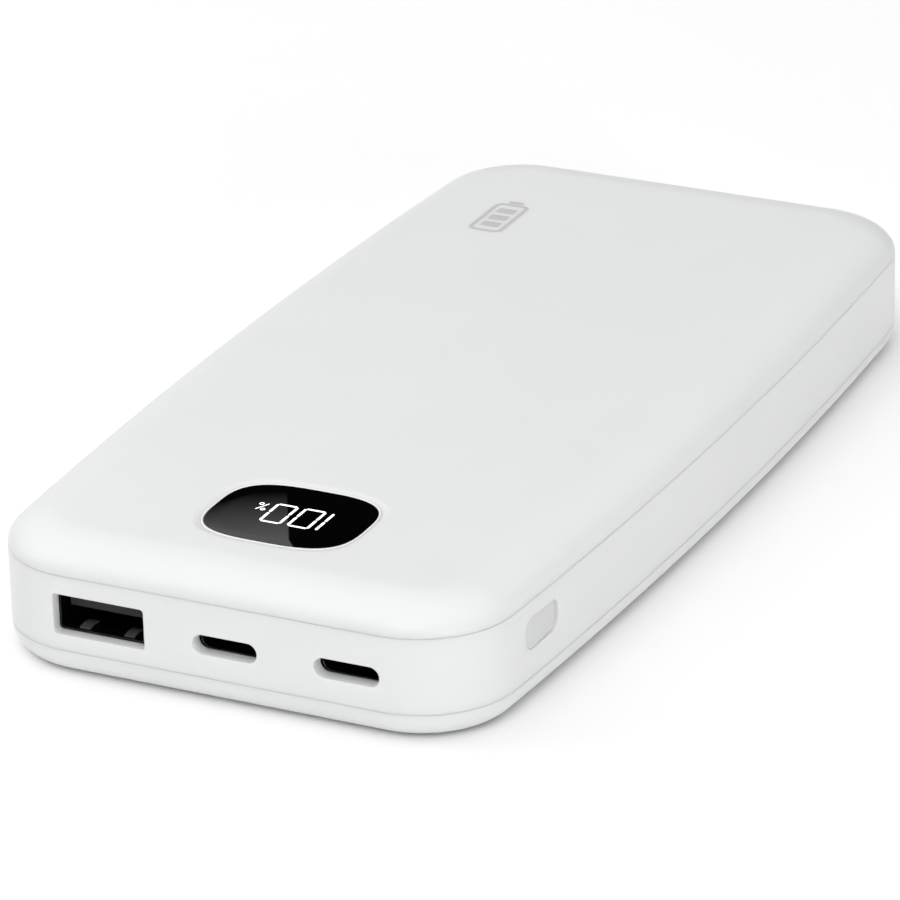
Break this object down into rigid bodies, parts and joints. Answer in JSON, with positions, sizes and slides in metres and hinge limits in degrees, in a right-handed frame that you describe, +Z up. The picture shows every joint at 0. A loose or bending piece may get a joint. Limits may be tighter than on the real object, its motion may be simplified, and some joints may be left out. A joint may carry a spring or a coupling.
{
  "type": "power bank",
  "caption": "Slim slab power bank with rounded covers, a smoked charge display, a side button and USB-A and USB-C sockets in one end.",
  "frame": {"origin": "centre of the underside's bounding rectangle, on the surface it lies on", "axes": "+Y along the body away from the socket end, +Z up through the display face, +X towards the side button"},
  "size_m": [0.073, 0.146, 0.0178],
  "materials": {
    "white_shell": "fine satin moulded, off-white",
    "button_grey": "satin moulded, light grey",
    "smoked_window": "polished black acrylic",
    "display_case": "black display block, white figures",
    "black_plastic": "black moulded insulator",
    "ivory_plastic": "ivory epoxy bead and sleeve",
    "socket_steel": "nickel-plated drawn steel",
    "gold_contact": "gold-plated contact",
    "board_green": "green solder mask",
    "chip_black": "black moulding compound",
    "ferrite": "dark grey pressed ferrite",
    "can_aluminium": "drawn aluminium can",
    "pouch_foil": "satin laminated foil",
    "foam_black": "closed-cell foam",
    "tape_blue": "blue polyester tape",
    "nickel": "plain nickel strip",
    "red_wire": "red silicone insulation",
    "black_wire": "black silicone insulation",
    "screw_steel": "zinc-plated screw"
  },
  "bodies": {
    "casing": {"top_cover": "white_shell", "middle_frame": "white_shell", "bottom_cover": "white_shell", "display_window": "smoked_window", "window_tape": "foam_black", "display_module": "display_case", "switch_body": "socket_steel", "usb_a_shell": "socket_steel", "usb_a_tongue": "black_plastic", "usb_a_contact_1": "gold_contact", "usb_a_contact_2": "gold_contact", "usb_a_contact_3": "gold_contact", "usb_a_contact_4": "gold_contact", "usb_c_middle_shell": "socket_steel", "usb_c_middle_tongue": "black_plastic", "usb_c_right_shell": "socket_steel", "usb_c_right_tongue": "black_plastic", "main_board": "board_green", "power_inductor": "ferrite", "charge_controller_chip": "chip_black", "boost_converter_chip": "chip_black", "output_capacitor_1": "can_aluminium", "output_capacitor_2": "can_aluminium", "board_screw_1": "screw_steel", "board_screw_2": "screw_steel", "board_screw_3": "screw_steel", "board_screw_4": "screw_steel", "lower_cell": "pouch_foil", "upper_cell": "pouch_foil", "bottom_foam_pad": "foam_black", "cell_tape": "tape_blue", "top_foam_pad": "foam_black", "protection_board": "board_green", "positive_tab": "nickel", "negative_tab": "nickel", "red_wire": "red_wire", "black_wire": "black_wire", "thermistor": "ivory_plastic"},
    "button": {"power_button": "button_grey", "switch_plunger": "black_plastic"}
  },
  "joints": [
    {"name": "button_press", "type": "slide", "parent": "casing", "child": "button", "axis": [-1, 0, 0], "range_m": [0, 0.0004], "stiffness_N_per_m": 2000, "springref_m": -0.0003}
  ]
}
